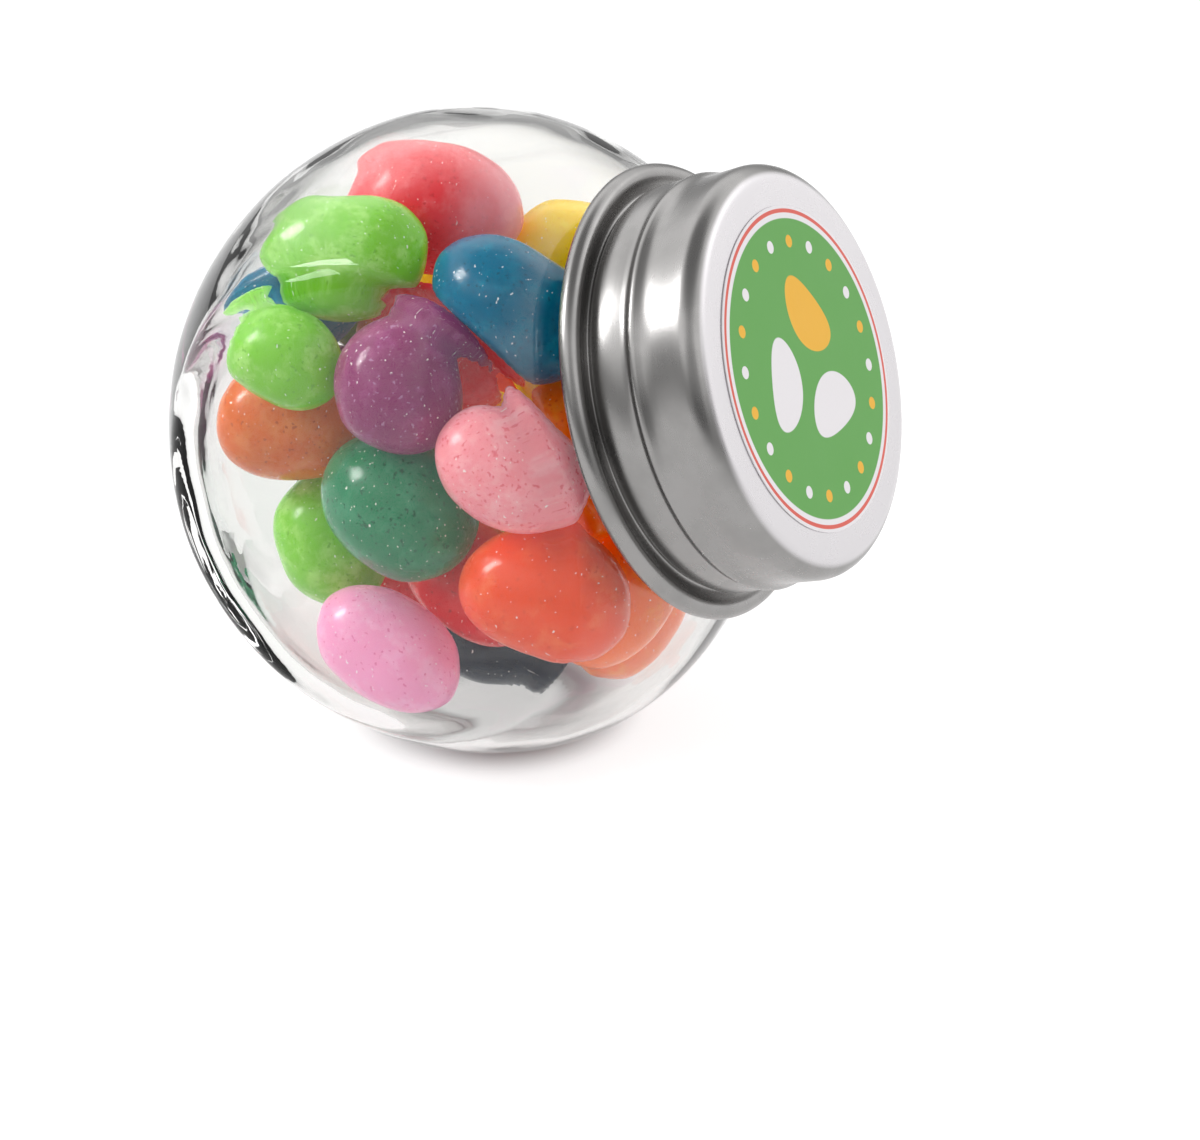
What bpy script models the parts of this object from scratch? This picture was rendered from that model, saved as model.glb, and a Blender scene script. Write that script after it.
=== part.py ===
"""A small round sweet jar of clear pressed glass, lying tilted on its rim and full of jelly beans.

The body is a ball with two flat round windows, one on each side. A short neck leaves it at a slant and
carries a tinplate screw lid with a round paper label. The jar rests on a small flat on its rim.

World axes: X is the level direction of the neck, the windows face -Y and +Y, and Z is up. The origin is
the middle of the underside of the whole object's box. Units are metres.
"""

import math

import bmesh
import bpy
from mathutils import Matrix, Vector

MM = 0.001

# How the jar lies.
LID_TILT = math.radians(20.65)  # of the lid's axis above the level
FOOT_RADIUS = 8.0 * MM  # the small flat that it rests on
SHELF_GAP = 0.3 * MM  # between solids that touch

# Glass body: a ball cut by two flat windows.
BALL_RADIUS = 30.9 * MM
HALF_THICKNESS = 21.85 * MM  # from the middle of the jar to a window's face
WINDOW_EDGE_RADIUS = 3.0 * MM
WALL = 1.3 * MM
WINDOW_WALL = 1.8 * MM
INNER_EDGE_RADIUS = 3.5 * MM  # a little larger than the outer one, so the glass is thick round the windows
SHOULDER_DROP = 0.22  # share of the ball's radius lost towards the neck
BASE_DROP = 0.033  # share lost at the base, opposite the neck
INNER_BASE_DROP = 0.17  # the same inside, where the base is thick

# Neck, measured along the lid's axis from the middle of the ball.
NECK_RADIUS = 17.2 * MM
BORE_RADIUS = 13.6 * MM
NECK_ROOT = 13.0 * MM
NECK_TOP = 33.7 * MM
LIP_ROUNDING = 0.9 * MM

# Lid.
LID_TOP = 34.85 * MM
LID_SHEET = 0.4 * MM
LID_RADIUS = 19.0 * MM
LID_SHOULDER = 1.9 * MM  # rounding between the face and the skirt
RIDGE_HEIGHT = 28.3 * MM
RIDGE_RADIUS = 19.25 * MM
RIDGE_WIDTH = 0.9 * MM
SKIRT_FOOT = 24.3 * MM
CURL_HEIGHT = 22.7 * MM
CURL_RADIUS = 21.2 * MM  # out to the rolled edge
CURL_ROLL = 1.0 * MM

# Label.
LABEL_RADIUS = 14.9 * MM
LABEL_THICKNESS = 0.2 * MM

# Heap of jelly beans.
BEAN_LENGTH = 15.0 * MM
BEAN_WIDTH = 11.0 * MM
HEAP_CLEARANCE = 0.7 * MM
HEAP_FRONT = 16.5 * MM  # how far it reaches along the lid's axis
HEAP_CORE_DEPTH = 3.6 * MM  # how deep the dips between beans go
BEANS_AT_WALL = 34
GOLDEN_ANGLE = math.pi * (3.0 - math.sqrt(5.0))

BALL_SIDES = 48
NECK_SIDES = 40
LID_SIDES = 48
LABEL_SIDES = 48

INNER_RADIUS = BALL_RADIUS - WALL
INNER_HALF_THICKNESS = HALF_THICKNESS - WINDOW_WALL
BALL_HEIGHT = math.sqrt(BALL_RADIUS**2 - FOOT_RADIUS**2)
LID_AXIS = Vector((math.cos(LID_TILT), 0.0, math.sin(LID_TILT)))
REAR_REACH = BALL_RADIUS * (1.0 - BASE_DROP * LID_AXIS.x**4)
LID_REACH = LID_AXIS.x * (LID_TOP - LID_SHOULDER) + LID_AXIS.z * (LID_RADIUS - LID_SHOULDER) + LID_SHOULDER
BALL_CENTRE = Vector((0.5 * (REAR_REACH - LID_REACH), 0.0, BALL_HEIGHT))


# ---------------------------------------------------------------- helpers


def clear_scene():
    for obj in list(bpy.data.objects):
        bpy.data.objects.remove(obj, do_unlink=True)


def make_collection(name):
    collection = bpy.data.collections.new(name)
    bpy.context.scene.collection.children.link(collection)
    return collection


def make_material(name, colour, roughness, metallic=0.0, transmission=0.0):
    material = bpy.data.materials.new(name)
    material.use_nodes = True
    shader = material.node_tree.nodes["Principled BSDF"]
    shader.inputs["Base Color"].default_value = (*colour, 1.0)
    shader.inputs["Roughness"].default_value = roughness
    shader.inputs["Metallic"].default_value = metallic
    shader.inputs["Transmission Weight"].default_value = transmission
    return material


def add_object(name, mesh, collection, parent=None, material=None):
    obj = bpy.data.objects.new(name, mesh)
    collection.objects.link(obj)
    obj.parent = parent
    if material:
        mesh.materials.append(material)
    return obj


def profile_mesh(name, points):
    """A mesh of edges through (radius, height) points, drawn in the XZ plane at +X."""
    mesh = bpy.data.meshes.new(name)
    vertices = [(radius, 0.0, height) for radius, height in points]
    edges = [(i, i + 1) for i in range(len(vertices) - 1)]
    mesh.from_pydata(vertices, edges, [])
    return mesh


def turn(obj, sides):
    """Turns the object's profile about its own Z axis."""
    screw = obj.modifiers.new("Turned", "SCREW")
    screw.axis = "Z"
    screw.steps = sides
    screw.render_steps = sides
    screw.use_merge_vertices = True
    screw.merge_threshold = 0.00001


def boolean(obj, other, operation):
    modifier = obj.modifiers.new(other.name, "BOOLEAN")
    modifier.operation = operation
    modifier.solver = "EXACT"
    modifier.object = other


def as_cutter(obj):
    obj.hide_render = True
    obj.display_type = "WIRE"


def arc(centre, radius, start, end, steps):
    """(radius, height) points along an arc, angles in degrees measured up from level."""
    points = []
    for i in range(steps + 1):
        angle = math.radians(start + (end - start) * i / steps)
        points.append((centre[0] + radius * math.cos(angle), centre[1] + radius * math.sin(angle)))
    return points


# ---------------------------------------------------------------- glass


def taper(direction, base_drop):
    """How much of the ball's radius is left in a direction: less at the shoulder and at the base."""
    along = direction.dot(LID_AXIS)
    if along > 0.0:
        return 1.0 - SHOULDER_DROP * along**2
    return 1.0 - base_drop * along**4


def edge_centre(radius, half_thickness, edge_radius):
    """(distance, height) of the middle of the arc between a window and the ball."""
    height = half_thickness - edge_radius
    return math.sqrt((radius - edge_radius) ** 2 - height**2), height


def drum_profile(radius, half_thickness, edge_radius):
    """Half section of a ball with two flat windows, from the middle of one window to the other's."""
    centre = edge_centre(radius, half_thickness, edge_radius)
    tangent = math.degrees(math.atan2(centre[1], centre[0]))
    upper = [(0.0, half_thickness)]
    upper += arc(centre, edge_radius, 90.0, tangent, 3)
    belly = arc((0.0, 0.0), radius, tangent, -tangent, 10)[1:-1]
    lower = [(r, -h) for r, h in reversed(upper)]
    return upper + belly + lower


def drum_mesh(name, radius, half_thickness, edge_radius, base_drop, collection):
    """The drum turned about Y, then drawn in at the shoulder and the base."""
    profile = profile_mesh(name, drum_profile(radius, half_thickness, edge_radius))
    turned = add_object(name, profile, collection)
    turn(turned, BALL_SIDES)
    graph = bpy.context.evaluated_depsgraph_get()
    mesh = bpy.data.meshes.new_from_object(turned.evaluated_get(graph))
    bpy.data.objects.remove(turned, do_unlink=True)
    mesh.transform(Matrix.Rotation(math.radians(90.0), 4, "X"))
    for vertex in mesh.vertices:
        kept = taper(vertex.co.normalized(), base_drop)
        vertex.co.x *= kept
        vertex.co.z *= kept
    mesh.name = name
    return mesh


def add_rod(name, radius, low, high, rounding, parent, collection):
    """A round bar along the lid's axis, with its far end's edge rounded."""
    points = [(0.0, high), (radius - rounding, high)]
    points += arc((radius - rounding, high - rounding), rounding, 90.0, 0.0, 3)[1:]
    points += [(radius, low), (0.0, low)]
    rod = add_object(name, profile_mesh(name, points), collection, parent)
    turn(rod, NECK_SIDES)
    as_cutter(rod)
    return rod


def add_foot_cutter(collection):
    """A slab below the shelf, which leaves the small flat that the jar rests on."""
    bpy.ops.mesh.primitive_cube_add(size=1.0)
    slab = bpy.context.object
    slab.name = "foot_cutter"
    for owner in list(slab.users_collection):
        owner.objects.unlink(slab)
    collection.objects.link(slab)
    depth = 0.5 * BALL_RADIUS
    slab.data.transform(Matrix.Diagonal((4.0 * BALL_RADIUS, 4.0 * BALL_RADIUS, depth, 1.0)))
    slab.location = (BALL_CENTRE.x, BALL_CENTRE.y, -0.5 * depth)
    as_cutter(slab)
    return slab


def add_glass_jar(parts, cutters, lid_frame):
    body = drum_mesh("glass_jar", BALL_RADIUS, HALF_THICKNESS, WINDOW_EDGE_RADIUS, BASE_DROP, parts)
    glass = make_material("clear_glass", (0.92, 0.95, 0.94), 0.03, transmission=1.0)
    jar = add_object("glass_jar", body, parts, material=glass)
    jar.location = BALL_CENTRE

    hollow_mesh = drum_mesh(
        "hollow", INNER_RADIUS, INNER_HALF_THICKNESS, INNER_EDGE_RADIUS, INNER_BASE_DROP, cutters
    )
    hollow = add_object("hollow", hollow_mesh, cutters)
    hollow.location = BALL_CENTRE
    as_cutter(hollow)

    neck = add_rod("neck", NECK_RADIUS, NECK_ROOT, NECK_TOP, LIP_ROUNDING, lid_frame, cutters)
    bore_top = NECK_TOP + LIP_ROUNDING * 2.0
    bore = add_rod("bore", BORE_RADIUS, 0.0, bore_top, LIP_ROUNDING * 0.5, lid_frame, cutters)
    boolean(jar, neck, "UNION")
    boolean(jar, hollow, "DIFFERENCE")
    boolean(jar, bore, "DIFFERENCE")
    boolean(jar, add_foot_cutter(cutters), "DIFFERENCE")
    return jar


# ---------------------------------------------------------------- lid and label


def lid_profile():
    """The outside of the lid, from the middle of its face down to the end of the rolled edge."""
    face = [(0.0, LID_TOP), (LABEL_RADIUS, LID_TOP)]
    shoulder_centre = (LID_RADIUS - LID_SHOULDER, LID_TOP - LID_SHOULDER)
    shoulder = arc(shoulder_centre, LID_SHOULDER, 90.0, 0.0, 4)
    waist = 0.5 * RIDGE_WIDTH
    skirt = [
        (LID_RADIUS - 0.1 * MM, RIDGE_HEIGHT + 2.0 * waist),
        (RIDGE_RADIUS, RIDGE_HEIGHT),
        (LID_RADIUS - 0.15 * MM, RIDGE_HEIGHT - 2.0 * waist),
        (LID_RADIUS + 0.05 * MM, 0.5 * (RIDGE_HEIGHT + SKIRT_FOOT)),
        (LID_RADIUS - 0.3 * MM, SKIRT_FOOT),
    ]
    roll_centre = (CURL_RADIUS - CURL_ROLL, CURL_HEIGHT)
    roll = arc(roll_centre, CURL_ROLL, 100.0, -130.0, 7)
    return face + shoulder + skirt + roll


def add_screw_lid(parts, lid_frame):
    tinplate = make_material("tinplate", (0.72, 0.71, 0.70), 0.22, metallic=1.0)
    lid = add_object("screw_lid", profile_mesh("screw_lid", lid_profile()), parts, lid_frame, tinplate)
    turn(lid, LID_SIDES)
    sheet = lid.modifiers.new("Sheet", "SOLIDIFY")
    sheet.thickness = LID_SHEET
    sheet.offset = -1.0
    return lid


def add_lid_label(parts, lid_frame):
    """A round paper label on the middle of the lid's face."""
    mesh = bpy.data.meshes.new("lid_label")
    disc = bmesh.new()
    bmesh.ops.create_cone(
        disc,
        cap_ends=True,
        segments=LABEL_SIDES,
        radius1=LABEL_RADIUS,
        radius2=LABEL_RADIUS,
        depth=LABEL_THICKNESS,
    )
    disc.to_mesh(mesh)
    disc.free()
    paper = make_material("label_paper", (0.15, 0.40, 0.10), 0.45)
    label = add_object("lid_label", mesh, parts, lid_frame, paper)
    label.location.z = LID_TOP + SHELF_GAP + 0.5 * LABEL_THICKNESS
    return label


# ---------------------------------------------------------------- jelly beans


def inner_reach(direction):
    """Distance from the middle of the jar to the inside of the ball or of a window, in a direction."""
    level = math.hypot(direction.x, direction.z)
    height = abs(direction.y)
    centre = edge_centre(INNER_RADIUS, INNER_HALF_THICKNESS, INNER_EDGE_RADIUS)
    if height * centre[0] > level * INNER_HALF_THICKNESS:
        return INNER_HALF_THICKNESS / height
    if height * centre[0] < level * centre[1]:
        return INNER_RADIUS
    along = level * centre[0] + height * centre[1]
    return along + math.sqrt(along**2 + INNER_EDGE_RADIUS**2 - centre[0] ** 2 - centre[1] ** 2)


def room_in(direction):
    """Distance from the middle of the jar to where the heap must stop in a direction."""
    room = inner_reach(direction) * taper(direction, INNER_BASE_DROP) - HEAP_CLEARANCE
    along = direction.dot(LID_AXIS)
    if along > 0.0:
        room = min(room, HEAP_FRONT / along)
    return room


def beans_at_wall():
    """(middle, long axis) of the beans that lie against the glass, spread evenly round it."""
    beans = []
    for i in range(BEANS_AT_WALL):
        height = 1.0 - (2.0 * i + 1.0) / BEANS_AT_WALL
        ring = math.sqrt(1.0 - height * height)
        angle = GOLDEN_ANGLE * i
        outward = Vector((ring * math.cos(angle), ring * math.sin(angle), height))
        middle = outward * (room_in(outward) - 0.5 * BEAN_WIDTH)
        along_wall = outward.orthogonal().normalized()
        turned = Matrix.Rotation(2.0 * GOLDEN_ANGLE * i, 3, outward) @ along_wall
        beans.append((middle, turned))
    return beans


def bean_reach(direction, middle, axis):
    """How far out a bean's surface lies in a direction from the middle of the jar, or 0 if it misses."""
    squash = 1.0 - BEAN_WIDTH / BEAN_LENGTH
    ray = direction - axis * (squash * direction.dot(axis))
    centre = middle - axis * (squash * middle.dot(axis))
    half_width = 0.5 * BEAN_WIDTH
    along = ray.dot(centre) / ray.length_squared
    spread = (half_width**2 - centre.length_squared) / ray.length_squared + along**2
    return along + math.sqrt(spread) if spread > 0.0 else 0.0


def add_jelly_beans(parts):
    """The heap as one solid, with a bump for each bean that lies against the glass."""
    mesh = bpy.data.meshes.new("jelly_beans")
    ball = bmesh.new()
    bmesh.ops.create_icosphere(ball, subdivisions=4, radius=1.0)
    beans = beans_at_wall()
    for vertex in ball.verts:
        direction = vertex.co.normalized()
        room = room_in(direction)
        reach = max(bean_reach(direction, middle, axis) for middle, axis in beans)
        vertex.co = direction * min(room, max(room - HEAP_CORE_DEPTH, reach))
    ball.to_mesh(mesh)
    ball.free()
    sugar = make_material("jelly_bean_sugar", (0.80, 0.20, 0.12), 0.35)
    heap = add_object("jelly_beans", mesh, parts, material=sugar)
    heap.location = BALL_CENTRE
    return heap


# ---------------------------------------------------------------- object


def shade(obj):
    for polygon in obj.data.polygons:
        polygon.use_smooth = True
    obj.data.set_sharp_from_angle(angle=math.radians(35.0))


def main():
    clear_scene()
    parts = make_collection("jelly_bean_jar")
    cutters = make_collection("cutters")

    lid_frame = bpy.data.objects.new("lid_frame", None)
    parts.objects.link(lid_frame)
    lid_frame.location = BALL_CENTRE
    lid_frame.rotation_euler = (0.0, math.radians(90.0) - LID_TILT, 0.0)

    shade(add_glass_jar(parts, cutters, lid_frame))
    add_screw_lid(parts, lid_frame)
    shade(add_lid_label(parts, lid_frame))
    shade(add_jelly_beans(parts))


main()
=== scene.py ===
"""A small round glass jar full of jelly beans, lying tilted on its rim with its tinplate lid screwed on.

Every piece is built on the jar's own lines: the middle of its ball, and the slanting axis of its neck and
lid. Lengths are metres, with MM and DEG for the small ones. The windows face -Y and +Y, and Z is up.
"""

import math

import bmesh
import bpy
import numpy as np
from bpy.props import FloatProperty, FloatVectorProperty, IntProperty, PointerProperty
from mathutils import Matrix, Vector, noise


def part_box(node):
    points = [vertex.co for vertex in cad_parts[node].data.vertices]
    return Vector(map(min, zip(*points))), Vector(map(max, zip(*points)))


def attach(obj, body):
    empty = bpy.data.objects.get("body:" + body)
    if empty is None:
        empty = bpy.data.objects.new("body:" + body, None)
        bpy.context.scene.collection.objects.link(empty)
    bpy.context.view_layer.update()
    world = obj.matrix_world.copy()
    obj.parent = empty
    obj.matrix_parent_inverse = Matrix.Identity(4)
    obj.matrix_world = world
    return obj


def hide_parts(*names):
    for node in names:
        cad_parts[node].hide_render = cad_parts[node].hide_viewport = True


bl_info = {
    "name": "Jelly bean jar",
    "version": (1, 0, 0),
    "blender": (4, 5, 0),
    "location": "3D View > Sidebar > Sweets",
    "description": "Builds a round glass jar of jelly beans with a tinplate lid",
    "category": "Add Mesh",
}

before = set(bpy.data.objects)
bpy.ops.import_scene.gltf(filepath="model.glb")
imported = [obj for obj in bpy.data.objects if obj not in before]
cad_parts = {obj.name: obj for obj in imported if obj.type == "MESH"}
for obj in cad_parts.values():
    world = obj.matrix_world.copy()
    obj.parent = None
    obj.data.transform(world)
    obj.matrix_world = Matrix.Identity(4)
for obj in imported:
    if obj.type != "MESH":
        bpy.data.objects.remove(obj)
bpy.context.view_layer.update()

MM = 0.001
DEG = math.pi / 180.0
UP = Vector((0.0, 0.0, 1.0))

# ---------------------------------------------------------------- lines that every piece is built on

LID_TILT = 20.65 * DEG
LID_AXIS = Vector((math.cos(LID_TILT), 0.0, math.sin(LID_TILT)))
BALL_RADIUS = 30.9 * MM
BASE_DROP = 0.033
FOOT_RADIUS = 8.0 * MM
JAR_LOW, JAR_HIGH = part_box("glass_jar")
HEAP_LOW, HEAP_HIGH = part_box("jelly_beans")
BALL_CENTRE = Vector(
    (
        JAR_LOW.x + BALL_RADIUS * (1.0 - BASE_DROP * LID_AXIS.x**4),
        0.5 * (JAR_LOW.y + JAR_HIGH.y),
        JAR_LOW.z + math.sqrt(BALL_RADIUS**2 - FOOT_RADIUS**2),
    )
)
# Turns a shape drawn about Z, with its top at +Z, onto the lid's axis.
LID_TURN = Matrix.Rotation(0.5 * math.pi - LID_TILT, 4, "Y")
LID_PLACE = Matrix.Translation(BALL_CENTRE) @ LID_TURN


# ---------------------------------------------------------------- sizes and colours that a user may change


class GlassSizes(bpy.types.PropertyGroup):
    half_thickness: FloatProperty(
        name="Half thickness",
        description="From the middle of the jar to the face of a window",
        default=JAR_HIGH.y,
        unit="LENGTH",
    )
    window_edge: FloatProperty(
        name="Window edge", description="Rounding round each window", default=3.0 * MM, unit="LENGTH"
    )
    wall: FloatProperty(name="Wall", description="Thickness of the ball's glass", default=1.3 * MM, unit="LENGTH")
    window_wall: FloatProperty(
        name="Window wall", description="Thickness of the glass at a window", default=1.8 * MM, unit="LENGTH"
    )
    inner_edge: FloatProperty(
        name="Inner edge", description="Rounding of the hollow round each window", default=2.0 * MM, unit="LENGTH"
    )
    base_edge: FloatProperty(
        name="Base edge", description="The same rounding where the base is thick", default=6.0 * MM, unit="LENGTH"
    )
    shoulder_drop: FloatProperty(
        name="Shoulder drop", description="Share of the ball's radius lost towards the neck", default=0.22
    )
    inner_base_drop: FloatProperty(
        name="Inner base drop", description="Share of the hollow's radius lost at the thick base", default=0.17
    )
    neck_radius: FloatProperty(name="Neck radius", description="Outside of the neck", default=17.2 * MM, unit="LENGTH")
    bore_radius: FloatProperty(name="Bore radius", description="Inside of the neck", default=13.6 * MM, unit="LENGTH")
    neck_top: FloatProperty(
        name="Neck top", description="Height of the lip above the middle of the ball", default=33.7 * MM, unit="LENGTH"
    )
    ripple: FloatProperty(
        name="Ripple", description="Unevenness of the inside of the pressed glass", default=0.22 * MM, unit="LENGTH"
    )
    tint: FloatVectorProperty(
        name="Tint", description="Colour of the glass", subtype="COLOR", default=(0.88, 0.88, 0.868)
    )
    steps: IntProperty(name="Steps", description="Divisions round the lid's axis", default=256)


class LidSizes(bpy.types.PropertyGroup):
    top: FloatProperty(
        name="Top", description="Height of the lid's face above the middle of the ball", default=34.85 * MM, unit="LENGTH"
    )
    radius: FloatProperty(name="Radius", description="Outside of the skirt", default=19.0 * MM, unit="LENGTH")
    shoulder: FloatProperty(
        name="Shoulder", description="Rounding between the face and the skirt", default=1.9 * MM, unit="LENGTH"
    )
    sheet: FloatProperty(name="Sheet", description="Thickness of the tinplate", default=0.4 * MM, unit="LENGTH")
    # The tinplate's own colour, set darker than bare tinplate: partly painted shade, standing in for the darker
    # surroundings the skirt reflects.
    metal: FloatVectorProperty(
        name="Metal", description="Colour of the tinplate", subtype="COLOR", default=(0.31, 0.303, 0.298)
    )
    steps: IntProperty(name="Steps", description="Divisions round the lid", default=192)


class LabelSizes(bpy.types.PropertyGroup):
    radius: FloatProperty(name="Radius", description="Radius of the paper", default=14.9 * MM, unit="LENGTH")
    paper: FloatProperty(name="Paper", description="Thickness of the paper", default=0.12 * MM, unit="LENGTH")
    green: FloatVectorProperty(
        name="Green", description="Colour of the printed disc", subtype="COLOR", default=(0.115, 0.36, 0.075)
    )
    red: FloatVectorProperty(
        name="Red", description="Colour of the printed ring", subtype="COLOR", default=(0.70, 0.115, 0.085)
    )
    yellow: FloatVectorProperty(
        name="Yellow", description="Colour of the printed beans", subtype="COLOR", default=(0.83, 0.44, 0.03)
    )


class BeanSizes(bpy.types.PropertyGroup):
    unevenness: FloatProperty(
        name="Unevenness", description="Depth of the lumps and dents in a bean", default=0.16 * MM, unit="LENGTH"
    )
    bend: FloatProperty(name="Bend", description="How much a bean curves, as a share of its length", default=0.05)
    loose_count: IntProperty(name="Loose count", description="Beans that fill up the jar behind the placed ones", default=18)
    seed: IntProperty(name="Seed", description="Start of the random draws", default=7)


class StageSizes(bpy.types.PropertyGroup):
    azimuth: FloatProperty(
        name="Azimuth", description="Camera's turn round the jar", default=27.14 * DEG, subtype="ANGLE"
    )
    elevation: FloatProperty(
        name="Elevation", description="Camera's angle above the floor", default=25.58 * DEG, subtype="ANGLE"
    )
    distance: FloatProperty(
        name="Distance", description="From the camera to the middle of the jar", default=315.4 * MM, unit="LENGTH"
    )
    right: FloatProperty(
        name="Right", description="How far the view's middle lies right of the jar's", default=10.33 * MM, unit="LENGTH"
    )
    down: FloatProperty(
        name="Down", description="How far the view's middle lies below the jar's", default=13.43 * MM, unit="LENGTH"
    )
    floor_radius: FloatProperty(name="Floor radius", description="Size of the floor", default=1.3, unit="LENGTH")


# ---------------------------------------------------------------- materials


class Wire:
    """A number on its way through a material. Arithmetic on it adds Math nodes."""

    def __init__(self, finish, socket):
        self.finish = finish
        self.socket = socket

    def math(self, operation, *values, clamp=False):
        settings = {"operation": operation, "use_clamp": clamp}
        return self.finish.node("ShaderNodeMath", settings, dict(enumerate(values)), 0)

    def __add__(self, other):
        return self.math("ADD", self, other)

    __radd__ = __add__

    def __sub__(self, other):
        return self.math("SUBTRACT", self, other)

    def __rsub__(self, other):
        return self.math("SUBTRACT", other, self)

    def __mul__(self, other):
        return self.math("MULTIPLY", self, other)

    __rmul__ = __mul__

    def __truediv__(self, other):
        return self.math("DIVIDE", self, other)

    def __pow__(self, other):
        return self.math("POWER", self, other)

    def less(self, other):
        return self.math("MINIMUM", self, other)

    def more(self, other):
        return self.math("MAXIMUM", self, other)

    def size(self):
        return self.math("ABSOLUTE", self)

    def root(self):
        return self.math("SQRT", self)

    def clear(self, low, high):
        """0 up to low, 1 from high on, and a smooth step between."""
        settings = {"interpolation_type": "SMOOTHSTEP"}
        return self.finish.node("ShaderNodeMapRange", settings, {"Value": self, "From Min": low, "From Max": high}, 0)


class Finish:
    """The nodes that paint a material, or the room's light."""

    def __init__(self, owner, shader):
        owner.use_nodes = True
        self.owner = owner
        self.tree = owner.node_tree
        self.shader = self.tree.nodes[shader]

    def node(self, kind, settings, values, output):
        """Adds a node and gives back the Wire from one of its outputs."""
        node = self.tree.nodes.new(kind)
        for key, value in settings.items():
            if key == "stops":
                self.set_stops(node.color_ramp, value)
            else:
                setattr(node, key, value)
        for key, value in values.items():
            self.plug(node.inputs[key], value)
        return Wire(self, node.outputs[output])

    def set_stops(self, ramp, stops):
        while len(ramp.elements) < len(stops):
            ramp.elements.new(0.5)
        for element, (position, colour) in zip(ramp.elements, stops):
            element.position = position
            element.color = (*colour, 1.0)

    def plug(self, socket, value):
        if isinstance(value, Wire):
            self.tree.links.new(value.socket, socket)
        elif socket.type == "RGBA" and len(value) == 3:
            socket.default_value = (*value, 1.0)
        else:
            socket.default_value = value

    def place(self, matrix=None):
        """Object coordinates, or those of a piece's own frame when its placing matrix is given."""
        plain = self.node("ShaderNodeTexCoord", {}, {}, "Object")
        if matrix is None:
            return plain
        spot, turn, _ = matrix.decompose()
        values = {"Vector": plain, "Location": spot, "Rotation": turn.to_euler()}
        return self.node("ShaderNodeMapping", {"vector_type": "TEXTURE"}, values, 0)

    def stretch(self, place, scale):
        return self.node("ShaderNodeMapping", {"vector_type": "POINT"}, {"Vector": place, "Scale": scale}, 0)

    def axes(self, place):
        settings = {}
        x = self.node("ShaderNodeSeparateXYZ", settings, {0: place}, 0)
        return x, Wire(self, x.socket.node.outputs[1]), Wire(self, x.socket.node.outputs[2])

    def grain(self, place, size, detail=2.0, roughness=0.5):
        """Cloudy noise with spots of about that size."""
        values = {"Vector": place, "Scale": 1.0 / size, "Detail": detail, "Roughness": roughness}
        return self.node("ShaderNodeTexNoise", {}, values, "Fac")

    def blend(self, factor, low, high, how="MIX"):
        values = {0: factor, 6: low, 7: high}
        return self.node("ShaderNodeMix", {"data_type": "RGBA", "blend_type": how}, values, 2)

    def relief(self, height, depth, strength=1.0):
        values = {"Height": height, "Distance": depth, "Strength": strength}
        return self.node("ShaderNodeBump", {}, values, 0)

    def dress(self, values):
        """Sets or links sockets of the main shader."""
        for key, value in values.items():
            self.plug(self.shader.inputs[key], value)


def new_finish(name):
    return Finish(bpy.data.materials.new(name), "Principled BSDF")


def make_glass(settings):
    """Clear glass, which lets the light of the room through to what stands in it."""
    finish = new_finish("clear_glass")
    glass = {"Base Color": tuple(settings.tint), "Roughness": 0.0, "IOR": 1.46, "Transmission Weight": 1.0}
    # Painted shade on the reflections: where the glass is met from outside it, it reflects only a quarter as strongly
    # as from within, standing in for darker surroundings.
    finish.dress(dict(glass, **{"Specular Tint": (0.25, 0.25, 0.25)}))
    front = Wire(finish, finish.shader.outputs[0])
    back = finish.node("ShaderNodeBsdfPrincipled", {}, glass, 0)
    behind = finish.node("ShaderNodeNewGeometry", {}, {}, "Backfacing")
    shell = finish.node("ShaderNodeMixShader", {}, {0: behind, 1: front, 2: back}, 0)
    light = finish.node("ShaderNodeLightPath", {}, {}, "Is Shadow Ray")
    through = finish.node("ShaderNodeBsdfTransparent", {}, {"Color": (0.99, 0.99, 0.99)}, 0)
    mixed = finish.node("ShaderNodeMixShader", {}, {0: light, 1: shell, 2: through}, 0)
    output = finish.tree.nodes["Material Output"]
    finish.tree.links.new(mixed.socket, output.inputs["Surface"])
    return finish.owner


def make_tinplate(settings):
    """Bright rolled tinplate: fine rings from the spinning, faint clouds and a few rubbed spots."""
    finish = new_finish("tinplate")
    place = finish.place(LID_PLACE)
    x, y, height = finish.axes(place)
    radius = (x * x + y * y).root()
    rings = finish.node("ShaderNodeCombineXYZ", {}, {0: radius, 1: height}, 0)
    lines = finish.grain(finish.stretch(rings, (9.0, 9.0, 9.0)), 1.0 * MM, 3.0, 0.7)
    clouds = finish.grain(place, 5.0 * MM, 4.0, 0.6)
    fine = finish.grain(place, 0.25 * MM, 2.0, 0.6)
    metal = tuple(settings.metal)
    dull = tuple(0.9 * part for part in metal)
    # Painted light: the face gets a paler copy of the tinplate, standing in for the brighter reflection it shows.
    face = (0.62, 0.60, 0.615)
    colour = finish.blend(clouds.clear(0.35, 0.7), metal, dull)
    colour = finish.blend((height - 34.5 * MM).clear(0.0, 0.3 * MM), colour, face)
    rough = 0.22 + 0.08 * clouds.clear(0.35, 0.75) + 0.06 * lines
    bump = finish.relief(lines * 0.7 + fine * 0.3, 0.004 * MM)
    finish.dress({"Base Color": colour, "Metallic": 1.0, "Roughness": rough, "Normal": bump})
    return finish.owner


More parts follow.
